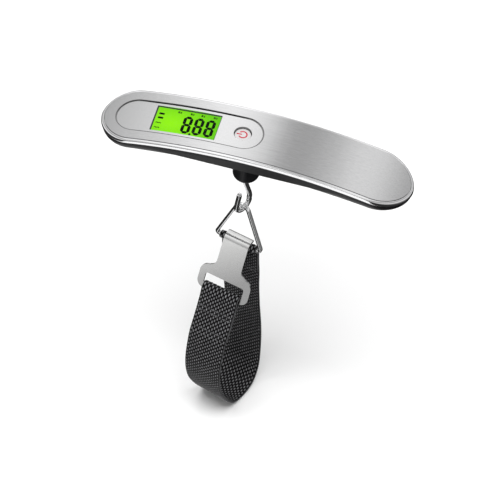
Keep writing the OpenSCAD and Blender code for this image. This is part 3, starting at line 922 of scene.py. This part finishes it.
def ring():
    """The triangular ring: one closed bar of flattened section."""
    lean = math.degrees(RING_ANGLE)
    corner_x = RING_HALF - CORNER_R / math.tan((math.pi / 2 - RING_ANGLE) / 2)
    corner_z = BAR_Z + CORNER_R

    def straight(a, b):
        return [(a[0] + (b[0] - a[0]) * i / 10, a[1] + (b[1] - a[1]) * i / 10)
                for i in range(1, 10)]

    apex = arc(0, APEX_Z - APEX_R, APEX_R, lean, 180 - lean, 16)
    left = arc(-corner_x, corner_z, CORNER_R, 180 - lean, 270, 10)
    right = arc(corner_x, corner_z, CORNER_R, -90, lean, 10)
    line = apex + straight(apex[-1], left[0]) + left
    line += straight(left[-1], right[0]) + right + straight(right[-1], apex[0])
    path = [hanging((x, 0, z)) for x, z in line]
    section = rounded_box(RING_W, RING_T, 0.6, steps=5)
    wire = piece("ring_wire", *sweep(path, section, hanging((0, 1, 0)), closed=True), "ring",
                 "chrome_wire", crisp=WIRE_CRISP)
    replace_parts(wire, "triangle_ring")


# ---------------------------------------------------------------- buckle

BUCKLE_LEAN = math.radians(22)
BUCKLE_T = 1.1
EYE_R = 1.1
STRAP_T = 1.2
OVER_R = EYE_R + STRAP_T + 0.3
NECK_W = 13.6
FRAME_W = 28.0
FRAME_TOP = 17.0
FRAME_LOW = 30.0
SLOT_TOP = 21.2
SLOT_LOW = 27.4
SLOT_W = 21.2
WRAP = math.radians(120)


def buckle_frame(y, z):
    """From the buckle's own upright plane to the hanging Y and Z, leaned out about the bar."""
    c, s = math.cos(BUCKLE_LEAN), math.sin(BUCKLE_LEAN)
    return y * c + z * s, BAR_Z - y * s + z * c


def buckle():
    """A pressed plate: a wide slotted frame, flared up to a neck that folds over the bar."""
    over = OVER_R + BUCKLE_T
    top = WRAP * over
    neck, half = NECK_W / 2, FRAME_W / 2
    snip, flare, shoulder, corner = 0.4, 4.2, 4.6, 4.2
    neck_low = -FRAME_TOP + flare + 2 - 0.01
    flare_z = -FRAME_TOP + flare + 0.6
    shoulder_z = -FRAME_TOP - shoulder + 0.6
    outline = [(neck, top - snip), (neck - snip, top), (-neck + snip, top), (-neck, top - snip)]
    outline += [(-neck, neck_low)]
    outline += arc(-neck - flare, flare_z, flare, 0, -70, 12)[1:]
    outline += arc(-half + shoulder, shoulder_z, shoulder, 95, 180, 10)
    outline += arc(-half + corner, -FRAME_LOW + corner, corner, 180, 270, 10)
    outline += arc(half - corner, -FRAME_LOW + corner, corner, 270, 360, 10)
    outline += arc(half - shoulder, shoulder_z, shoulder, 0, 85, 10)
    outline += arc(neck + flare, flare_z, flare, 250, 180, 12)[:-1]
    outline += [(neck, neck_low)]
    slot = rounded_box(SLOT_W, SLOT_LOW - SLOT_TOP, 1.4, 0, -(SLOT_TOP + SLOT_LOW) / 2)

    def shape(x, s):
        """s runs up the outer face and then over the bar."""
        turn = max(s, 0) / over
        y, z = buckle_frame(-over * math.cos(turn), over * math.sin(turn) + min(s, 0))
        return hanging((x, y, z))

    cuts = [top * i / 20 for i in range(20)] + [-2.0 * i for i in range(1, 15)]
    plate = sheet("buckle_plate", outline, [slot], shape, cuts, 1, BUCKLE_T, 0.34,
                  "buckle_body", "nickel_buckle", segments=4)
    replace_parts(plate, "buckle")


# ---------------------------------------------------------------- webbing

FOLD_DOWN = (SLOT_LOW + FRAME_LOW) / 2
FOLD_OUT = OVER_R + BUCKLE_T / 2
FOLD_Y, FOLD_Z = buckle_frame(-FOLD_OUT, -FOLD_DOWN)
FOLD_Z -= BAR_Z
FOLD_R = 1.8
LAYER_T = 1.08
# Hanging Y and Z from the bar: down the back, round the bottom, up the front to the fold
LOOP = [(1.9, 0), (3.2, -11), (5.6, -25), (9.4, -48), (13.6, -70), (15.2, -88),
        (14.7, -103), (8.8, -111.6), (-5.2, -109.8), (-16.4, -95), (-22.6, -80),
        (-25, -65), (-24, -51), (-20, -39.5), (FOLD_Y - 1.9, FOLD_Z - 2)]
LOOP_STEPS = 12
# Steps of the loop that are sewn double at each end, and over which the layer then eases back
SEWN = int(1.75 * LOOP_STEPS)
EASE = 9
# Of half a layer, to keep the two sewn layers just apart
APART = 1.04
WEB_W = 20.0


def loop_line():
    """The loop as a smooth line, midway between the two layers of the sewn ends."""
    return catmull([(0, y, z) for y, z in LOOP], LOOP_STEPS)


def outward(along):
    """The webbing's normal, out of the loop, from its direction."""
    return Vector((0, -along.z, along.y))


def webbing_line():
    """The webbing's middle line in hanging Y and Z from the bar: hem, round the bar, down the
    back, round the bottom, up the front, round the buckle's low bar, and back to a hem."""
    line = loop_line()
    last = len(line) - 1

    def layer(i, side):
        return line[i] + outward(heading(line, i)) * side * LAYER_T / 2

    hem_a = [layer(i, -APART) for i in range(SEWN, 2, -1)]
    eye = [Vector((0, y, z)) for y, z in arc(0, 0, EYE_R + LAYER_T / 2 + 0.03, 205, 10, 22)]
    body = []
    for i in range(3, last - 2):
        near = min(i, last - i)
        side = 1.0 if near <= SEWN else max(0.0, 1 - (near - SEWN) / EASE)
        body.append(layer(i, APART * side * side * (3 - 2 * side)))
    middle = Vector((0, FOLD_Y, FOLD_Z))
    along = heading(line, last)
    start = math.degrees(math.atan2(along.y, -along.z))
    fold = [middle + Vector((0, y, z)) for y, z in
            arc(0, 0, FOLD_R + LAYER_T / 2, start - 8, start - 205, 22)]
    hem_b = [layer(i, -APART) for i in range(last - 3, last - SEWN, -1)]
    return hem_a + eye + body + fold + hem_b


def resample(line, pitch):
    """Even steps along a line of points."""
    out, carry = [line[0]], 0.0
    for a, b in zip(line, line[1:]):
        run = (b - a).length
        while run > 1e-9 and carry + run >= pitch:
            a = a + (b - a) * ((pitch - carry) / run)
            run = (b - a).length
            carry = 0.0
            out.append(a.copy())
        carry += run
    return out


def eased(line, rounds):
    """Soften corners of a line, ends held."""
    for _ in range(rounds):
        line = [line[0]] + [(a + 2 * b + c) / 4 for a, b, c in
                            zip(line, line[1:], line[2:])] + [line[-1]]
    return line


YARN = 1.12
PICK = 1.3
YARN_STEPS = 4
WEAVE_H = 0.32
WEAVE_SINK = 0.45
FRAY = 0.05
SELVEDGE_LIFT = 0.05
SELVEDGE_SWELL = 1.35
LOOP_TWIST = math.radians(-4)
LOOP_DROP = 2.0
SLACK_TOP = -32.0
SLACK_LOW = -95.0


def weave(across, along):
    """Height of the weave: lengthwise yarns that dive under every other pick, in turn."""
    column = across / YARN
    row = along / PICK
    phase = math.floor(column) % 2
    yarn = abs(math.sin(math.pi * column)) ** 0.55
    float_over = 0.5 + 0.5 * math.cos(math.pi * (row + phase))
    return WEAVE_H * (yarn * (0.3 + 0.7 * float_over) - WEAVE_SINK)


def slack(z):
    """How far down the loop a height is, eased from 0 by the sewn ends to 1 at the bottom."""
    share = min(1.0, max(0.0, (SLACK_TOP - z) / (SLACK_TOP - SLACK_LOW)))
    return share * share * (3 - 2 * share)


def webbing():
    """The woven strap, its two faces raised yarn by yarn, with a rolled selvedge."""
    pitch = PICK / YARN_STEPS
    line = eased(resample(webbing_line(), pitch), 6)
    yarns = int(round((WEB_W - 1.0) / YARN))
    half = yarns * YARN / 2
    count = yarns * YARN_STEPS
    spread = [-half + 2 * half * i / count for i in range(count + 1)]
    selvedge = [(half + 0.3, 0.62), (half + 0.48, 0.25), (half + 0.48, -0.25),
                (half + 0.3, -0.62)]
    thick = LAYER_T / 2 - 0.06
    rows, lifts = [], []
    for i, p in enumerate(line):
        out = outward(heading(line, i))
        run = i * pitch
        fray = FRAY * math.sin(run * 2 * math.pi / PICK)
        row = []
        for x in spread:
            lift = weave(x + half, run)
            row.append((x, thick + lift, lift))
        row += [(x + fray, thick * y * SELVEDGE_SWELL, SELVEDGE_LIFT) for x, y in selvedge]
        for x in reversed(spread):
            lift = weave(x + half, run + PICK)
            row.append((x, -thick - lift, lift))
        row += [(-x - fray, -thick * y * SELVEDGE_SWELL, SELVEDGE_LIFT) for x, y in selvedge]
        sway = slack(p.z)
        turn = Matrix.Rotation(LOOP_TWIST * sway, 3, "Z")
        drop = Vector((0, 0, BAR_Z - LOOP_DROP * sway))
        rows.append([hanging(turn @ (Vector((x, p.y, p.z)) + out * h) + drop)
                     for x, h, _ in row])
        lifts += [lift / WEAVE_H + WEAVE_SINK for _, _, lift in row]
    strap = piece("webbing", *skin(rows, caps=True), "strap_body", "webbing_black", crisp=180)
    # The weave's height at each point, which the webbing's material reads for its painted shade in the low places
    strap.data.attributes.new("lift", "FLOAT", "POINT").data.foreach_set("value", lifts)
    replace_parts(strap, "strap", "strap_stitching")


THREAD_R = 0.17
THREAD_UP = LAYER_T + 0.26
STITCH_HALF = 0.576
STITCH_PITCH = 1.722
STITCHES = 11


def capsule(a, b, normal):
    """A short thread between two points."""
    along = (b - a).normalized()
    side = along.cross(normal).normalized()
    rows = []
    for share, size in ((0, 0.35), (0.12, 0.85), (0.5, 1.0), (0.88, 0.85), (1, 0.35)):
        p = a + (b - a) * share
        rows.append([p + (side * math.cos(t) + normal * math.sin(t)) * THREAD_R * size
                     for t in [2 * math.pi * k / 8 for k in range(8)]])
    return skin(rows, caps=True)


def stitching():
    """Rows of thread across both sewn ends, on both faces."""
    line = loop_line()
    last = len(line) - 1
    threads = []
    crossings = (6, 9, 18, 20, last - 7, last - 9, last - 18, last - 21)
    for i in crossings:
        out = outward(heading(line, i))
        for side in (-1, 1):
            centre = line[i] + out * side * THREAD_UP
            for k in range(STITCHES):
                x = (k - (STITCHES - 1) / 2) * STITCH_PITCH
                ends = [hanging(Vector((x + d, centre.y, centre.z + BAR_Z)))
                        for d in (-STITCH_HALF, STITCH_HALF)]
                threads.append(capsule(*ends, hanging(out)))
    piece("webbing_stitches", *merged(threads), "strap_body", "thread_black")


# ---------------------------------------------------------------- floor, light and camera

FLOOR_Z = CAD_BOX[0].z / MM - LOOP_DROP - 0.6
FLOOR_REACH = 3000.0


def floor():
    """A plain pale floor just under the loop, unseen in reflections."""
    corners = [(-1, -1), (1, -1), (1, 1), (-1, 1)]
    mesh = bpy.data.meshes.new("floor")
    mesh.from_pydata([(x * FLOOR_REACH * MM, y * FLOOR_REACH * MM, FLOOR_Z * MM)
                      for x, y in corners], [], [(0, 1, 2, 3)])
    obj = add("floor", mesh)
    mesh.materials.append(finish("floor_white", (0.80, 0.80, 0.80), PLASTIC, (0.8, 0.9), 0.004,
                                 scale=3, bump=0, Specular_IOR_Level=0.1))
    obj.visible_glossy = False


# Brightness of the surroundings by direction, in degrees round Y: 0 is up, and 90 is +X
SKY = [(-180, 1.05), (-168, 1.10), (-161, 0.90), (-156, 0.03), (-122, 0.03), (-113, 0.85),
       (-106, 0.95), (-92, 0.85), (-75, 0.35), (-48, 0.42), (-38, 0.62), (-26, 0.92),
       (-17, 1.19), (-12, 1.12), (-9, 1.00), (-7, 0.87), (-5, 0.60), (-3, 0.46), (-1, 0.43),
       (2.3, 0.50), (7, 0.69), (9.4, 0.86), (11.7, 0.94), (15, 0.92), (19, 0.68),
       (21, 0.52), (40, 0.30), (90, 0.80), (108, 0.22), (122, 0.22), (130, 0.03),
       (163, 0.03)]
# What is left of it in directions that go far enough to +Y and down, and where that starts
FAR_LEVEL = 0.12
FAR_Y = (0.3, 0.55)
LOW_Z = (-0.2, -0.05)
LAMP_SIZE_M = (1.3, 0.6)
LAMP_AT_M = (0.0, -0.36, 1.05)
LAMP_TILT = math.radians(19)
LAMP_WATTS = 19.5


def studio():
    """Light surroundings in bands along X, darker low down on the far side so that far edges
    read, with one soft lamp above for the shadow."""
    world = bpy.data.worlds.new("studio")
    bpy.context.scene.world = world
    world.use_nodes = True
    nodes, links = world.node_tree.nodes, world.node_tree.links
    coord = nodes.new("ShaderNodeTexCoord")
    parts = nodes.new("ShaderNodeSeparateXYZ")
    links.new(coord.outputs["Generated"], parts.inputs["Vector"])
    angle = nodes.new("ShaderNodeMath")
    angle.operation = "ARCTAN2"
    links.new(parts.outputs["X"], angle.inputs[0])
    links.new(parts.outputs["Z"], angle.inputs[1])
    ramp = nodes.new("ShaderNodeValToRGB")
    stops = ramp.color_ramp.elements
    while len(stops) < len(SKY):
        stops.new(0.5)
    brightest = max(level for _, level in SKY)
    for stop, (degrees, level) in zip(stops, SKY):
        stop.position = (degrees + 180) / 360
        stop.color = [level / brightest] * 3 + [1]
    round_y = ranged(nodes, links, angle.outputs["Value"], 0, 1, -math.pi, math.pi)
    links.new(round_y, ramp.inputs["Fac"])
    dimming = nodes.new("ShaderNodeMath")
    dimming.operation = "MAXIMUM"
    away = ranged(nodes, links, parts.outputs["Y"], 1.0, FAR_LEVEL, *FAR_Y)
    above = ranged(nodes, links, parts.outputs["Z"], 0, 1, *LOW_Z)
    links.new(away, dimming.inputs[0])
    links.new(above, dimming.inputs[1])
    background = nodes["Background"]
    links.new(socket_scale(nodes, links, ramp.outputs["Color"], dimming.outputs["Value"]),
              background.inputs["Color"])
    background.inputs["Strength"].default_value = brightest

    lamp = bpy.data.lights.new("overhead", "AREA")
    lamp.shape = "ELLIPSE"
    lamp.size, lamp.size_y = LAMP_SIZE_M
    lamp.energy = LAMP_WATTS
    obj = add("overhead", lamp)
    obj.location = LAMP_AT_M
    obj.rotation_euler = (LAMP_TILT, 0, 0)
    obj.visible_glossy = False


CAMERA_AZ = math.radians(10.7)
CAMERA_EL = math.radians(50.0)
CAMERA_ROLL = math.radians(6.0)
CAMERA_FAR = 4000.0
FIELD = 239.2
SENSOR = 36.0
AIM_DOWN = 55.3
CLIP_M = (0.1, 20)


def camera():
    """A long lens at the product shot's angle, rolled a little."""
    forward = Vector((-math.sin(CAMERA_AZ) * math.cos(CAMERA_EL),
                      math.cos(CAMERA_AZ) * math.cos(CAMERA_EL), -math.sin(CAMERA_EL)))
    right = Vector((math.cos(CAMERA_AZ), math.sin(CAMERA_AZ), 0))
    up = right.cross(forward)
    x_axis = right * math.cos(CAMERA_ROLL) + up * math.sin(CAMERA_ROLL)
    y_axis = -right * math.sin(CAMERA_ROLL) + up * math.cos(CAMERA_ROLL)
    place_at = Matrix((x_axis, y_axis, -forward)).transposed().to_4x4()
    place_at.translation = (-y_axis * AIM_DOWN - forward * CAMERA_FAR) * MM
    data = bpy.data.cameras.new("camera")
    data.sensor_width = SENSOR
    data.lens = SENSOR * CAMERA_FAR / FIELD
    data.clip_start, data.clip_end = CLIP_M
    obj = add("camera", data)
    obj.matrix_world = place_at
    bpy.context.scene.camera = obj


camera()
studio()
floor()
face_plate()
rim()
shell()
boss()
battery_door()
bezel()
display()
power_button()
hook()
ring()
buckle()
webbing()
stitching()
bpy.context.scene.view_settings.view_transform = "Standard"

bpy.context.view_layer.update()
